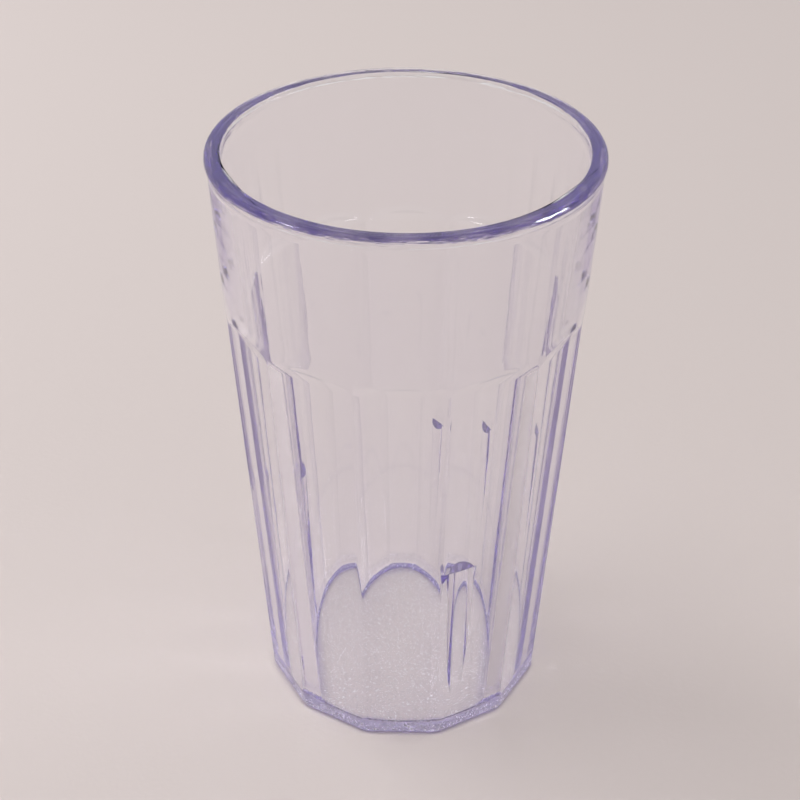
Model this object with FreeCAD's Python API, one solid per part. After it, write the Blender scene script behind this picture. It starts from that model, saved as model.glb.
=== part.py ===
import FreeCAD, Part
import math
import os

# A clear stacking tumbler, moulded in one piece. Sizes are in millimetres.
# The tumbler stands on z = 0 with its axis on +Z, and the front is towards -Y.

# Overall
height = 138.8
rim_radius = 42.1

# Rim, a narrow flat on top of the wall, well rounded outside, where it stands a little proud of it
rim_wall = 3.5
rim_outer_rounding = 1.2
rim_inner_rounding = 0.6
rim_overhang = 0.35
rim_blend = 0.9

# Smooth round band between the rim and the panels, narrower at its foot than the rim
band_height = 38.0
band_taper = 2.4

# Flat panels below the band, which meet in softly rounded ridges just inside the band's foot
panel_count = 12
panel_turn = -0.95
ridge_step = 0.1
ridge_taper = 6.3
ridge_rounding = 1.2
foot_rounding = 1.2

# Hollow curve that leads from the top of each panel out to the band, and its softened upper edge
scoop_radius = 5.0
scoop_edge_rounding = 0.5

# Round inside, with a wall that is thickest at the ridges' feet, and a thin floor
ridge_wall_at_foot = 5.3
floor_thickness = 1.3
floor_corner = 1.5

# Upright lugs on the inner wall, on which the foot of the next tumbler rests in a stack
lug_count = 3
lug_turn = 22.0
lug_top_height = 49.9
lug_radius = 3.2
lug_reach = 3.3
lug_root = 1.0

# Room that the cutting bodies have past the surfaces they cut, and how near counts as touching
spare = 5.0
near = 0.05


def radius_between(z, low, high):
    """Radius at height z on the straight line between two (radius, height) points."""
    share = (z - low[1]) / (high[1] - low[1])
    return low[0] + (high[0] - low[0]) * share


band_foot_radius = rim_radius - band_taper
ridge_radius_at_band = band_foot_radius - ridge_step
ridge_radius_at_foot = ridge_radius_at_band - ridge_taper
inner_radius_at_floor = ridge_radius_at_foot - ridge_wall_at_foot
rim_outer_height = height - rim_outer_rounding
rim_inner_height = height - rim_inner_rounding
rim_outer_middle = rim_radius - rim_outer_rounding
rim_inner_middle = rim_radius - rim_wall + rim_inner_rounding
band_foot_height = height - band_height
band_foot = (band_foot_radius, band_foot_height)
band_top = (rim_radius - rim_overhang, rim_outer_height)
wall_inside_low = (inner_radius_at_floor, floor_thickness)
wall_inside_high = (rim_radius - rim_wall, rim_inner_height)


def band_radius(z):
    return radius_between(z, band_foot, band_top)


def inner_radius(z):
    return radius_between(z, wall_inside_low, wall_inside_high)


def vector(radius, z):
    return FreeCAD.Vector(radius, 0, z)


def turned(shape, angle):
    copy = shape.copy()
    copy.rotate(FreeCAD.Vector(0, 0, 0), FreeCAD.Vector(0, 0, 1), angle)
    return copy


def revolved(edges):
    face = Part.Face(Part.Wire(edges))
    return face.revolve(FreeCAD.Vector(0, 0, 0), FreeCAD.Vector(0, 0, 1), 360)


def round_body():
    """The tumbler before its panels are cut: a block as wide as the band, the rim and the hollow."""
    # where the rim's outer rounding crosses the wall, a little below its middle
    drop = math.acos((band_top[0] - rim_outer_middle) / rim_outer_rounding)
    rim_start = vector(rim_outer_middle + rim_outer_rounding * math.cos(drop),
                       rim_outer_height - rim_outer_rounding * math.sin(drop))
    wall_top_height = rim_start.z - rim_blend
    wall_top = vector(band_radius(wall_top_height), wall_top_height)
    rim_outer = vector(rim_radius, rim_outer_height)
    rim_inner = vector(*wall_inside_high)
    half_turn = math.sqrt(0.5) * rim_inner_rounding
    rim_inner_bend = vector(rim_inner_middle - half_turn, rim_inner_height + half_turn)
    corner_height = floor_thickness + floor_corner
    slope = math.atan2(wall_inside_high[0] - wall_inside_low[0],
                       wall_inside_high[1] - wall_inside_low[1])
    corner_middle = inner_radius(corner_height) - floor_corner / math.cos(slope)
    corner_start = vector(corner_middle + floor_corner * math.cos(slope),
                          corner_height - floor_corner * math.sin(slope))
    diagonal = math.radians(45) + slope / 2
    corner_bend = vector(corner_middle + floor_corner * math.cos(diagonal),
                         corner_height - floor_corner * math.sin(diagonal))
    floor_edge = vector(corner_middle, floor_thickness)
    return revolved([
        Part.LineSegment(vector(0, 0), vector(band_foot_radius, 0)).toShape(),
        Part.LineSegment(vector(band_foot_radius, 0), vector(*band_foot)).toShape(),
        Part.LineSegment(vector(*band_foot), wall_top).toShape(),
        Part.LineSegment(wall_top, rim_start).toShape(),
        Part.Arc(rim_start, rim_outer, vector(rim_outer_middle, height)).toShape(),
        Part.LineSegment(vector(rim_outer_middle, height), vector(rim_inner_middle, height)).toShape(),
        Part.Arc(vector(rim_inner_middle, height), rim_inner_bend, rim_inner).toShape(),
        Part.LineSegment(rim_inner, corner_start).toShape(),
        Part.Arc(corner_start, corner_bend, floor_edge).toShape(),
        Part.LineSegment(floor_edge, vector(0, floor_thickness)).toShape(),
        Part.LineSegment(vector(0, floor_thickness), vector(0, 0)).toShape(),
    ])


def panel_cutter():
    """What lies outside one panel, up to the hollow curve that runs out to the band at its top."""
    half_panel = math.pi / panel_count
    # each ridge is sharp until it is rounded, so the panels meet a little outside it
    ridge_loss = ridge_rounding * (1 / math.cos(half_panel) - 1)
    panel_foot = ((ridge_radius_at_foot + ridge_loss) * math.cos(half_panel), 0)
    panel_top = ((ridge_radius_at_band + ridge_loss) * math.cos(half_panel), band_foot_height)
    below = vector(radius_between(-spare, panel_foot, panel_top), -spare)
    scoop_start = vector(*panel_top)
    lean = math.atan2(panel_top[0] - panel_foot[0], band_foot_height)
    scoop_middle = vector(panel_top[0] + scoop_radius * math.cos(lean),
                          band_foot_height - scoop_radius * math.sin(lean))
    bend = (math.radians(90) - lean) / 2

    def on_scoop(turn):
        return FreeCAD.Vector(scoop_middle.x - scoop_radius * math.cos(turn), 0,
                              scoop_middle.z + scoop_radius * math.sin(turn))

    scoop_bend = on_scoop(lean + bend)
    scoop_end = on_scoop(math.radians(90))
    outside = vector(rim_radius + scoop_radius + spare, scoop_end.z)
    outside_low = vector(outside.x, -spare)
    profile = Part.Wire([
        Part.LineSegment(below, scoop_start).toShape(),
        Part.Arc(scoop_start, scoop_bend, scoop_end).toShape(),
        Part.LineSegment(scoop_end, outside).toShape(),
        Part.LineSegment(outside, outside_low).toShape(),
        Part.LineSegment(outside_low, below).toShape(),
    ])
    reach = rim_radius * math.tan(half_panel) + spare
    cutter = Part.Face(profile).extrude(FreeCAD.Vector(0, 2 * reach, 0))
    cutter.translate(FreeCAD.Vector(0, -reach, 0))
    return cutter


def lug():
    """One upright lug, rooted in the wall and ending flat at its top."""
    middle = inner_radius(lug_top_height) - lug_reach + lug_radius
    post = Part.makeCylinder(lug_radius, lug_top_height - floor_thickness / 2,
                             vector(middle, floor_thickness / 2))
    inside = Part.makeCone(inner_radius(0) + lug_root, inner_radius(height) + lug_root, height)
    return post.common(inside)


def edges_between(shape, lowest, highest):
    """The edges of shape that lie between two heights."""
    found = []
    for edge in shape.Edges:
        heights = [point.Z for point in edge.Vertexes]
        if heights and min(heights) > lowest and max(heights) < highest:
            found.append(edge)
    return found


def ridge_edges(body):
    """The sharp edges that rise from the foot to the top of the panels."""
    found = []
    for edge in body.Edges:
        heights = sorted(point.Z for point in edge.Vertexes)
        if abs(heights[0]) < near and abs(heights[-1] - band_foot_height) < near:
            found.append(edge)
    return found


def tumbler():
    """The round body with its panels cut flat, its edges rounded, and its lugs added inside."""
    step = 360 / panel_count
    cutters = [turned(panel_cutter(), panel_turn - 90 + step * number) for number in range(panel_count)]
    body = round_body().cut(cutters).Solids[0]
    body = body.makeFillet(ridge_rounding, ridge_edges(body))
    body = body.makeFillet(foot_rounding, edges_between(body, -near, near))
    scoop_end = edges_between(body, band_foot_height + near, rim_outer_height - rim_wall)
    body = body.makeFillet(scoop_edge_rounding, scoop_end)
    lugs = [turned(lug(), lug_turn - 90 + 360 * number / lug_count) for number in range(lug_count)]
    return body.fuse(lugs).removeSplitter()


os.makedirs("parts", exist_ok=True)
shape = tumbler()
print("solids", len(shape.Solids), "valid", shape.isValid(), "volume", round(shape.Volume, 1))
shape.Solids[0].exportStep("parts/tumbler.step")
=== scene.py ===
import bpy
import bmesh
import math
from mathutils import Matrix, Vector


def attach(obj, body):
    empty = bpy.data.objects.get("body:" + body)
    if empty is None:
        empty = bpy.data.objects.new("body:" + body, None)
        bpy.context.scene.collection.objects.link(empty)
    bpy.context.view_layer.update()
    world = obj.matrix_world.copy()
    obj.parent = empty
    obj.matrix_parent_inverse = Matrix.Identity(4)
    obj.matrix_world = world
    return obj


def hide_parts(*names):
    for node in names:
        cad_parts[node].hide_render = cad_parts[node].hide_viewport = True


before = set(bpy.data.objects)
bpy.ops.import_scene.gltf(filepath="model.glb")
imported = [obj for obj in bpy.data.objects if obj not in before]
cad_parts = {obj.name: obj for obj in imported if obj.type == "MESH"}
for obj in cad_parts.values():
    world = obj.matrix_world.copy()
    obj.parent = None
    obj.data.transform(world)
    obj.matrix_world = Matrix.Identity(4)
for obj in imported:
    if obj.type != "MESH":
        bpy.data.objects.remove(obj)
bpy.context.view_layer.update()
scene = bpy.context.scene

# The tumbler
# One injection moulding in clear, polished plastic with a faint violet tint. Its core is a plain cone, so
# the inside is round. Twelve flats outside run out into the round band, which ends in a narrow flat rim with
# rounded edges. Three upright lugs on the inner wall end in level, flat tops.

tumbler_height = 0.1388
rim_radius = 0.0421
rim_wall = 0.0035
rim_outer_rounding = 0.0012
rim_inner_rounding = 0.0004
rim_overhang = 0.00035
rim_blend = 0.0009
band_height = 0.0380
band_foot_radius = 0.0397
panel_count = 12
panel_turn = math.radians(-0.95)
ridge_radius_at_foot = 0.0333
ridge_radius_at_band = 0.0396
ridge_rounding_at_foot = 0.0030
ridge_rounding_at_band = 0.0012
foot_rounding = 0.0012
scoop_radius = 0.0050
scoop_edge_rounding = 0.0010
scoop_edge_share = 0.6
inner_radius_at_floor = 0.0280
floor_thickness = 0.0013
floor_corner = 0.0015
lug_count = 3
lug_turn = math.radians(22.0)
lug_top_height = 0.0499
lug_radius = 0.0032
lug_reach = 0.0033
lug_edge_rounding = 0.00025

rim_outer_middle = Vector((rim_radius - rim_outer_rounding, tumbler_height - rim_outer_rounding))
rim_inner_middle = Vector((rim_radius - rim_wall + rim_inner_rounding,
                           tumbler_height - rim_inner_rounding))
band_foot_height = tumbler_height - band_height
panel_angle = 2 * math.pi / panel_count
half_panel = panel_angle / 2
first_ridge = panel_turn - half_panel


def on_line(low, high, height):
    """Radius at one height on the straight line between two (radius, height) points."""
    share = (height - low[1]) / (high[1] - low[1])
    return low[0] + (high[0] - low[0]) * share


def band_radius(height):
    return on_line((band_foot_radius, band_foot_height),
                   (rim_radius - rim_overhang, rim_outer_middle.y), height)


def wall_inside(height):
    return on_line((inner_radius_at_floor, floor_thickness),
                   (rim_radius - rim_wall, rim_inner_middle.y), height)


def run(start, end, steps):
    """Points along a straight line, without its start."""
    return [start.lerp(end, step / steps) for step in range(1, steps + 1)]


def bend(start, corner, end, steps):
    """Points along a soft corner, without its start."""
    points = []
    for step in range(1, steps + 1):
        share = step / steps
        points.append(start.lerp(corner, share).lerp(corner.lerp(end, share), share))
    return points


def arc(middle, radius, first, last, steps):
    """Points along a part of a circle, both ends included."""
    points = []
    for step in range(steps + 1):
        angle = first + (last - first) * step / steps
        points.append(middle + radius * Vector((math.cos(angle), math.sin(angle))))
    return points


def root(inside, low, high):
    """The value between low and high at which inside(value) turns from true to false."""
    halvings = 45
    for _ in range(halvings):
        middle = (low + high) / 2
        if inside(middle):
            low = middle
        else:
            high = middle
    return (low + high) / 2


def outline_radius(turn, flat, rounding):
    """Radius of the panelled outline, at an angle from the middle of a panel."""
    turn = abs(turn)
    flat_end = math.atan((flat - rounding) * math.tan(half_panel) / flat)
    if turn <= flat_end:
        return flat / math.cos(turn)
    middle = (flat - rounding) / math.cos(half_panel)
    from_ridge = half_panel - turn
    aside = middle * math.sin(from_ridge)
    return middle * math.cos(from_ridge) + math.sqrt(max(0, rounding ** 2 - aside ** 2))


def panel_radius(turn, height):
    """Radius of a panel or, above it, of the hollow scoop that runs out to the band."""
    ridge = on_line((ridge_radius_at_foot, 0), (ridge_radius_at_band, band_foot_height), height)
    rounding = on_line((ridge_rounding_at_foot, 0), (ridge_rounding_at_band, band_foot_height),
                       min(height, band_foot_height))
    flat = (ridge - rounding) * math.cos(half_panel) + rounding
    rise = min(max(0, height - band_foot_height), scoop_radius)
    out = scoop_radius - math.sqrt(scoop_radius ** 2 - rise ** 2)
    return outline_radius(turn, flat + out, rounding + out)


# rows of points along each stretch of the outside
foot_rows = 6
foot_rounding_rows = 6
panel_rows = 14
scoop_rows = 12
scoop_edge_rows = 6
band_rows = 12
rim_blend_rows = 5
rim_rounding_rows = 14
rim_top_rows = 2


def outer_column(azimuth):
    """Points (radius, height) from the middle of the foot up the outside to the top of the rim."""
    turn = (azimuth - first_ridge) % panel_angle - half_panel

    def panel(height):
        return Vector((panel_radius(turn, height), height))

    foot = panel(0)
    points = [Vector((0, 0))]
    points += run(points[-1], foot - Vector((foot_rounding, 0)), foot_rows)
    points += bend(points[-1], foot, panel(foot_rounding), foot_rounding_rows)
    for row in range(1, panel_rows + 1):
        points.append(panel(foot_rounding + (band_foot_height - foot_rounding) * row / panel_rows))

    break_out = root(lambda height: panel_radius(turn, height) < band_radius(height),
                     band_foot_height, band_foot_height + scoop_radius)
    softening = min(scoop_edge_rounding, scoop_edge_share * (break_out - band_foot_height))
    for row in range(1, scoop_rows + 1):
        share = row / scoop_rows
        points.append(panel(band_foot_height + (break_out - softening - band_foot_height) * share))
    band_start = Vector((band_radius(break_out + softening), break_out + softening))
    points += bend(points[-1], panel(break_out), band_start, scoop_edge_rows)

    drop = math.acos((rim_radius - rim_overhang - rim_outer_middle.x) / rim_outer_rounding)
    rim = arc(rim_outer_middle, rim_outer_rounding, -drop, math.pi / 2, rim_rounding_rows)
    band_end_height = rim[0].y - rim_blend
    band_end = Vector((band_radius(band_end_height), band_end_height))
    points += run(band_start, band_end, band_rows)
    points += bend(points[-1], Vector((band_radius(rim[0].y), rim[0].y)), rim[0], rim_blend_rows)
    points += rim[1:]
    return points + run(rim[-1], Vector((rim_radius - rim_wall / 2, tumbler_height)), rim_top_rows)


wall_lean = math.atan2(rim_radius - rim_wall - inner_radius_at_floor,
                       rim_inner_middle.y - floor_thickness)
corner_height = floor_thickness + floor_corner
corner_middle = Vector((wall_inside(corner_height) - floor_corner / math.cos(wall_lean), corner_height))


def inside_radius(height):
    """Radius of the inner wall or, near the floor, of the round corner between them."""
    drop = corner_middle.y - height
    if drop <= floor_corner * math.sin(wall_lean):
        return wall_inside(height)
    return corner_middle.x + math.sqrt(max(0, floor_corner ** 2 - drop ** 2))


wall_at_lug = wall_inside(lug_top_height)
lug_middle_radius = wall_at_lug - lug_reach + lug_radius


def lug_face(azimuth):
    """Radius of a lug's face at one azimuth, or the wall's radius where there is none."""
    radius = wall_at_lug
    for number in range(lug_count):
        lug_azimuth = lug_turn + number * 2 * math.pi / lug_count
        aside = (azimuth - lug_azimuth + math.pi) % (2 * math.pi) - math.pi
        across = lug_middle_radius * math.sin(aside)
        on_this_side = abs(aside) < math.pi / lug_count
        if on_this_side and abs(across) < lug_radius:
            face = lug_middle_radius * math.cos(aside) - math.sqrt(lug_radius ** 2 - across ** 2)
            radius = min(radius, face)
    return radius


# rows of points along each stretch of the inside
inner_rim_rows = 12
wall_rows = 36
lug_top_rows = 3
lug_edge_rows = 3
lug_face_rows = 24
below_lug_rows = 12
corner_rows = 12
floor_rows = 8


def inner_column(azimuth):
    """Points (radius, height) from the top of the rim down the inside to the middle of the floor."""
    points = arc(rim_inner_middle, rim_inner_rounding, math.pi / 2, math.pi, inner_rim_rows)
    wall_end = Vector((wall_at_lug, lug_top_height))
    points += run(points[-1], wall_end, wall_rows)
    face = lug_face(azimuth)
    edge = Vector((face, lug_top_height))
    softening = min(lug_edge_rounding, (wall_end.x - face) / 2)
    points += run(points[-1], edge + Vector((softening, 0)), lug_top_rows)
    points += bend(points[-1], edge, edge - Vector((0, softening)), lug_edge_rows)

    lug_foot = root(lambda height: inside_radius(height) < face, floor_thickness, lug_top_height)
    lug_foot = min(lug_foot, lug_top_height - softening)
    points += run(points[-1], Vector((min(face, inside_radius(lug_foot)), lug_foot)), lug_face_rows)
    corner_start = min(lug_foot, corner_middle.y - floor_corner * math.sin(wall_lean))
    points += run(points[-1], Vector((inside_radius(corner_start), corner_start)), below_lug_rows)
    first = math.asin(max(-1, min(1, (corner_start - corner_middle.y) / floor_corner)))
    corner = arc(corner_middle, floor_corner, first, -math.pi / 2, corner_rows)
    points += corner[1:]
    return points + run(corner[-1], Vector((0, floor_thickness)), floor_rows)


# columns on half a flat, on a ridge and on a lug
half_flat_columns = 8
ridge_columns = 16
lug_columns = 40


def outer_azimuths():
    """Azimuths of the outer columns, drawn closer together on the ridges."""
    rounding = max(ridge_rounding_at_foot, ridge_rounding_at_band)
    flat = (ridge_radius_at_foot - rounding) * math.cos(half_panel) + rounding
    flat_end = math.atan((flat - rounding) * math.tan(half_panel) / flat)
    azimuths = []
    for number in range(panel_count):
        middle = first_ridge + half_panel + panel_angle * number
        for step in range(-half_flat_columns, half_flat_columns + 1):
            azimuths.append(middle + flat_end * step / half_flat_columns)
        for step in range(1, ridge_columns):
            azimuths.append(middle + flat_end + 2 * (half_panel - flat_end) * step / ridge_columns)
    return azimuths


def inner_azimuths(total):
    """Azimuths of the inner columns, drawn closer together on the lugs."""
    half_width = math.acos((lug_middle_radius ** 2 + wall_at_lug ** 2 - lug_radius ** 2)
                           / (2 * lug_middle_radius * wall_at_lug))
    between = total // lug_count - lug_columns
    azimuths = []
    for number in range(lug_count):
        middle = lug_turn + number * 2 * math.pi / lug_count
        for step in range(lug_columns):
            azimuths.append(middle - half_width + 2 * half_width * step / lug_columns)
        gap = 2 * math.pi / lug_count - 2 * half_width
        for step in range(between):
            azimuths.append(middle + half_width + gap * step / between)
    return azimuths


def from_start(azimuths, start):
    """The same azimuths, beginning with the one nearest to start."""
    def away(azimuth):
        return abs((azimuth - start + math.pi) % (2 * math.pi) - math.pi)

    first = min(range(len(azimuths)), key=lambda index: away(azimuths[index]))
    return azimuths[first:] + azimuths[:first]


# every outer column and the inner one beside it make one ring, from the foot over the rim to the floor
outer_columns = outer_azimuths()
inner_columns = from_start(inner_azimuths(len(outer_columns)), outer_columns[0])
tumbler_mesh = bpy.data.meshes.new("tumbler_moulding")
tumbler_shell = bmesh.new()
rings = []
for outer, inner in zip(outer_columns, inner_columns):
    ring = []
    for azimuth, column in ((outer, outer_column(outer)), (inner, inner_column(inner))):
        for radius, height in column:
            point = (radius * math.sin(azimuth), -radius * math.cos(azimuth), height)
            ring.append(tumbler_shell.verts.new(point))
    rings.append(ring)
for number, ring in enumerate(rings):
    following = rings[(number + 1) % len(rings)]
    for row in range(len(ring) - 1):
        tumbler_shell.faces.new((ring[row], following[row], following[row + 1], ring[row + 1]))
weld_distance = 2e-7
bmesh.ops.remove_doubles(tumbler_shell, verts=tumbler_shell.verts, dist=weld_distance)
bmesh.ops.recalc_face_normals(tumbler_shell, faces=tumbler_shell.faces)
sharp_angle = math.radians(35)
for face in tumbler_shell.faces:
    face.smooth = True
for edge in tumbler_shell.edges:
    if edge.calc_face_angle(0) > sharp_angle:
        edge.smooth = False
tumbler_shell.to_mesh(tumbler_mesh)
tumbler_shell.free()
tumbler = bpy.data.objects.new("clear_tumbler", tumbler_mesh)
scene.collection.objects.link(tumbler)

plastic = bpy.data.materials.new("clear_violet_plastic")
plastic.use_nodes = True
nodes = plastic.node_tree.nodes
links = plastic.node_tree.links
surface = nodes["Principled BSDF"]
surface.inputs["Base Color"].default_value = (1, 1, 1, 1)
surface.inputs["IOR"].default_value = 1.57

# the tint only shows where the light has gone a long way through the plastic
tint = nodes.new("ShaderNodeVolumeAbsorption")
tint.inputs["Color"].default_value = (0.58, 0.51, 0.81, 1)
tint.inputs["Density"].default_value = 21.5
links.new(tint.outputs["Volume"], nodes["Material Output"].inputs["Volume"])

# faint upright draw lines left by the mould's polish
on_tumbler = nodes.new("ShaderNodeTexCoord")
stretch = nodes.new("ShaderNodeMapping")
stretch.inputs["Scale"].default_value = (1.0, 1.0, 0.02)
streaks = nodes.new("ShaderNodeTexNoise")
streaks.inputs["Scale"].default_value = 420.0
streaks.inputs["Detail"].default_value = 3.0
links.new(on_tumbler.outputs["Object"], stretch.inputs["Vector"])
links.new(stretch.outputs["Vector"], streaks.inputs["Vector"])
draw_lines = nodes.new("ShaderNodeBump")
draw_lines.inputs["Strength"].default_value = 0.06
draw_lines.inputs["Distance"].default_value = 0.0002
links.new(streaks.outputs["Fac"], draw_lines.inputs["Height"])

# flow lines that run round the rim, where the mould fills last; they are drawn out by the small length
# that one radian counts for, and fade in over the last stretch below the top
flow_length_per_radian = 0.0025
flow_fade_start = 0.0040
flow_fade_end = 0.0020
position = nodes.new("ShaderNodeSeparateXYZ")
links.new(on_tumbler.outputs["Object"], position.inputs["Vector"])
flatten = nodes.new("ShaderNodeMapping")
flatten.inputs["Scale"].default_value = (1.0, 1.0, 0.0)
links.new(on_tumbler.outputs["Object"], flatten.inputs["Vector"])
from_axis = nodes.new("ShaderNodeVectorMath")
from_axis.operation = "LENGTH"
links.new(flatten.outputs["Vector"], from_axis.inputs[0])
round_turn = nodes.new("ShaderNodeMath")
round_turn.operation = "ARCTAN2"
links.new(position.outputs["X"], round_turn.inputs[0])
links.new(position.outputs["Y"], round_turn.inputs[1])
turn_length = nodes.new("ShaderNodeMath")
turn_length.operation = "MULTIPLY"
turn_length.inputs[1].default_value = flow_length_per_radian
links.new(round_turn.outputs["Value"], turn_length.inputs[0])
along_rim = nodes.new("ShaderNodeCombineXYZ")
links.new(from_axis.outputs["Value"], along_rim.inputs["X"])
links.new(turn_length.outputs["Value"], along_rim.inputs["Y"])
links.new(position.outputs["Z"], along_rim.inputs["Z"])
flow = nodes.new("ShaderNodeTexNoise")
flow.inputs["Scale"].default_value = 1500.0
flow.inputs["Detail"].default_value = 2.0
links.new(along_rim.outputs["Vector"], flow.inputs["Vector"])
on_rim = nodes.new("ShaderNodeMapRange")
on_rim.interpolation_type = "SMOOTHSTEP"
on_rim.inputs["From Min"].default_value = tumbler_height - flow_fade_start
on_rim.inputs["From Max"].default_value = tumbler_height - flow_fade_end
links.new(position.outputs["Z"], on_rim.inputs["Value"])
flow_depth = nodes.new("ShaderNodeMath")
flow_depth.operation = "MULTIPLY"
links.new(flow.outputs["Fac"], flow_depth.inputs[0])
links.new(on_rim.outputs["Result"], flow_depth.inputs[1])
flow_lines = nodes.new("ShaderNodeBump")
flow_lines.inputs["Strength"].default_value = 0.5
flow_lines.inputs["Distance"].default_value = 0.0004
links.new(flow_depth.outputs["Value"], flow_lines.inputs["Height"])
links.new(draw_lines.outputs["Normal"], flow_lines.inputs["Normal"])
links.new(flow_lines.outputs["Normal"], surface.inputs["Normal"])

# the floor and the corner round it are scuffed matt by stacking and washing, the underside isn't
scuff_reach = 0.0018
scuff_height = floor_thickness + scuff_reach
scuff_fade = 0.0008
underside_share = 0.8
on_floor = nodes.new("ShaderNodeMapRange")
on_floor.interpolation_type = "SMOOTHSTEP"
on_floor.inputs["From Min"].default_value = scuff_height + scuff_fade
on_floor.inputs["From Max"].default_value = scuff_height
links.new(position.outputs["Z"], on_floor.inputs["Value"])
above_foot = nodes.new("ShaderNodeMath")
above_foot.operation = "GREATER_THAN"
above_foot.inputs[1].default_value = floor_thickness * underside_share
links.new(position.outputs["Z"], above_foot.inputs[0])
scuffs = nodes.new("ShaderNodeTexNoise")
scuffs.inputs["Scale"].default_value = 1900.0
scuffs.inputs["Detail"].default_value = 5.0
links.new(on_tumbler.outputs["Object"], scuffs.inputs["Vector"])
scuff_depth = nodes.new("ShaderNodeMapRange")
scuff_depth.inputs["From Min"].default_value = 0.45
scuff_depth.inputs["From Max"].default_value = 0.72
scuff_depth.inputs["To Min"].default_value = 0.0
scuff_depth.inputs["To Max"].default_value = 0.42
links.new(scuffs.outputs["Fac"], scuff_depth.inputs["Value"])
floor_only = nodes.new("ShaderNodeMath")
floor_only.operation = "MULTIPLY"
links.new(on_floor.outputs["Result"], floor_only.inputs[0])
links.new(above_foot.outputs["Value"], floor_only.inputs[1])
roughness = nodes.new("ShaderNodeMath")
roughness.operation = "MULTIPLY"
links.new(floor_only.outputs["Value"], roughness.inputs[0])
links.new(scuff_depth.outputs["Result"], roughness.inputs[1])
links.new(roughness.outputs["Value"], surface.inputs["Roughness"])

# the scuffs are also a little cloudy
clear = 1.0
cloudiness = 0.9
haze = nodes.new("ShaderNodeMath")
haze.operation = "MULTIPLY_ADD"
haze.inputs[1].default_value = -cloudiness
haze.inputs[2].default_value = clear
links.new(roughness.outputs["Value"], haze.inputs[0])
links.new(haze.outputs["Value"], surface.inputs["Transmission Weight"])

tumbler_mesh.materials.append(plastic)
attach(tumbler, "root")
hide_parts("tumbler")

# The table
# A plain pale surface with a warm grey tone and a fine, matt grain. It isn't part of the tumbler, which just
# stands on it.

table_half_width = 3.0
table_drop = 0.0002
table_mesh = bpy.data.meshes.new("table_top")
corners = [(-1, -1), (1, -1), (1, 1), (-1, 1)]
table_mesh.from_pydata([(x * table_half_width, y * table_half_width, -table_drop) for x, y in corners],
                       [], [(0, 1, 2, 3)])
table = bpy.data.objects.new("table", table_mesh)
scene.collection.objects.link(table)
table_finish = bpy.data.materials.new("pale_table")
table_finish.use_nodes = True
table_nodes = table_finish.node_tree.nodes
table_links = table_finish.node_tree.links
table_surface = table_nodes["Principled BSDF"]
table_surface.inputs["Base Color"].default_value = (0.66, 0.595, 0.58, 1)
table_surface.inputs["Roughness"].default_value = 0.8
table_surface.inputs["Specular IOR Level"].default_value = 0.2
on_table = table_nodes.new("ShaderNodeTexCoord")
grain = table_nodes.new("ShaderNodeTexNoise")
grain.inputs["Scale"].default_value = 700.0
grain.inputs["Detail"].default_value = 3.0
table_links.new(on_table.outputs["Object"], grain.inputs["Vector"])
grain_bump = table_nodes.new("ShaderNodeBump")
grain_bump.inputs["Strength"].default_value = 0.12
grain_bump.inputs["Distance"].default_value = 0.0003
table_links.new(grain.outputs["Fac"], grain_bump.inputs["Height"])
table_links.new(grain_bump.outputs["Normal"], table_surface.inputs["Normal"])
table_mesh.materials.append(table_finish)

# The light
# A soft, slightly warm white room. A large lamp brightens the left side a little, and two windows leave
# small bright streaks on the rim and the panels.

room = bpy.data.worlds.new("soft_room")
scene.world = room
room.use_nodes = True
room_light = room.node_tree.nodes["Background"]
room_light.inputs["Color"].default_value = (1.0, 0.975, 0.965, 1)
room_light.inputs["Strength"].default_value = 0.79

fill_place = Vector((-0.75, 0.25, 0.60))
fill_width = 0.90
fill_power = 3.9
left_window_place = Vector((-0.62, -0.05, 0.80))
left_window_size = (0.20, 0.12)
left_window_power = 1.4
right_window_place = Vector((0.80, 0.02, 0.57))
right_window_size = (0.36, 0.14)
right_window_power = 5.0
windows_face = Vector((0, 0, 0.06))


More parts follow.
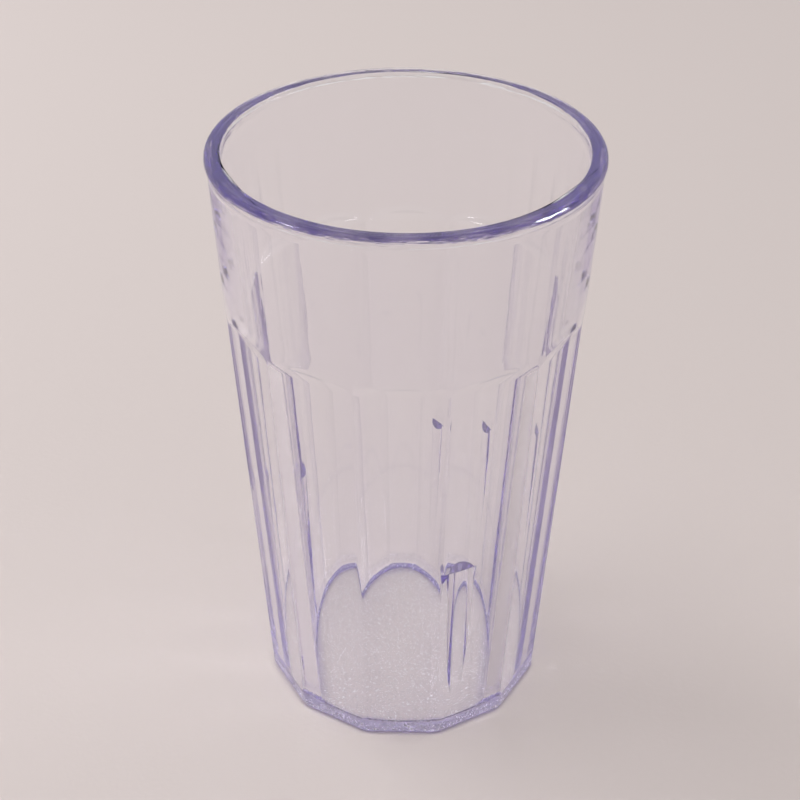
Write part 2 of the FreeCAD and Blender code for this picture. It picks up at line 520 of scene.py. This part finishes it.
def lamp(name, stand, target, size, power):
    """A flat lamp that faces the target."""
    light = bpy.data.lights.new(name, "AREA")
    light.shape = "RECTANGLE"
    light.size = size[0]
    light.size_y = size[1]
    light.energy = power
    holder = bpy.data.objects.new(name, light)
    scene.collection.objects.link(holder)
    holder.location = stand
    holder.rotation_euler = (target - stand).to_track_quat("-Z", "Y").to_euler()
    return holder


fill = lamp("left_fill", fill_place, Vector((0, 0, 0)), (fill_width, fill_width), fill_power)
fill.data.cycles.use_multiple_importance_sampling = False
left_window = lamp("window_1", left_window_place, windows_face, left_window_size, left_window_power)
right_window = lamp("window_2", right_window_place, windows_face, right_window_size, right_window_power)
left_window.visible_diffuse = False
right_window.visible_diffuse = False

# The camera
# It looks down into the tumbler from in front and above, at the angle of the photograph. Its lens is long,
# so the sides of the tumbler draw together only a little towards the foot.

focal_pixels = 1614.6
picture_pixels = 800
sensor_width = 36.0
camera_distance = 0.3721
camera_pitch = math.radians(34.05)
camera_roll = math.radians(0.20)
camera_target = Vector((-0.00105, 0, 0.07459))
nearest_seen = 0.01

view_down = Vector((0, math.cos(camera_pitch), -math.sin(camera_pitch)))
level_right = Vector((1, 0, 0))
level_up = level_right.cross(view_down)
right = math.cos(camera_roll) * level_right + math.sin(camera_roll) * level_up
up = math.cos(camera_roll) * level_up - math.sin(camera_roll) * level_right
camera_place = camera_target - camera_distance * view_down
lens = bpy.data.cameras.new("camera")
lens.sensor_width = sensor_width
lens.lens = sensor_width * focal_pixels / picture_pixels
lens.clip_start = nearest_seen
camera = bpy.data.objects.new("camera", lens)
scene.collection.objects.link(camera)
camera.matrix_world = Matrix((
    (right.x, up.x, -view_down.x, camera_place.x),
    (right.y, up.y, -view_down.y, camera_place.y),
    (right.z, up.z, -view_down.z, camera_place.z),
    (0, 0, 0, 1),
))
scene.camera = camera

# light passes many faces of the clear plastic before it comes out again
plastic_bounces = 64
scene.cycles.max_bounces = plastic_bounces
scene.cycles.glossy_bounces = plastic_bounces
scene.cycles.transmission_bounces = plastic_bounces
scene.cycles.blur_glossy = 0.0
room.cycles.sampling_method = "NONE"
scene.view_settings.view_transform = "Standard"
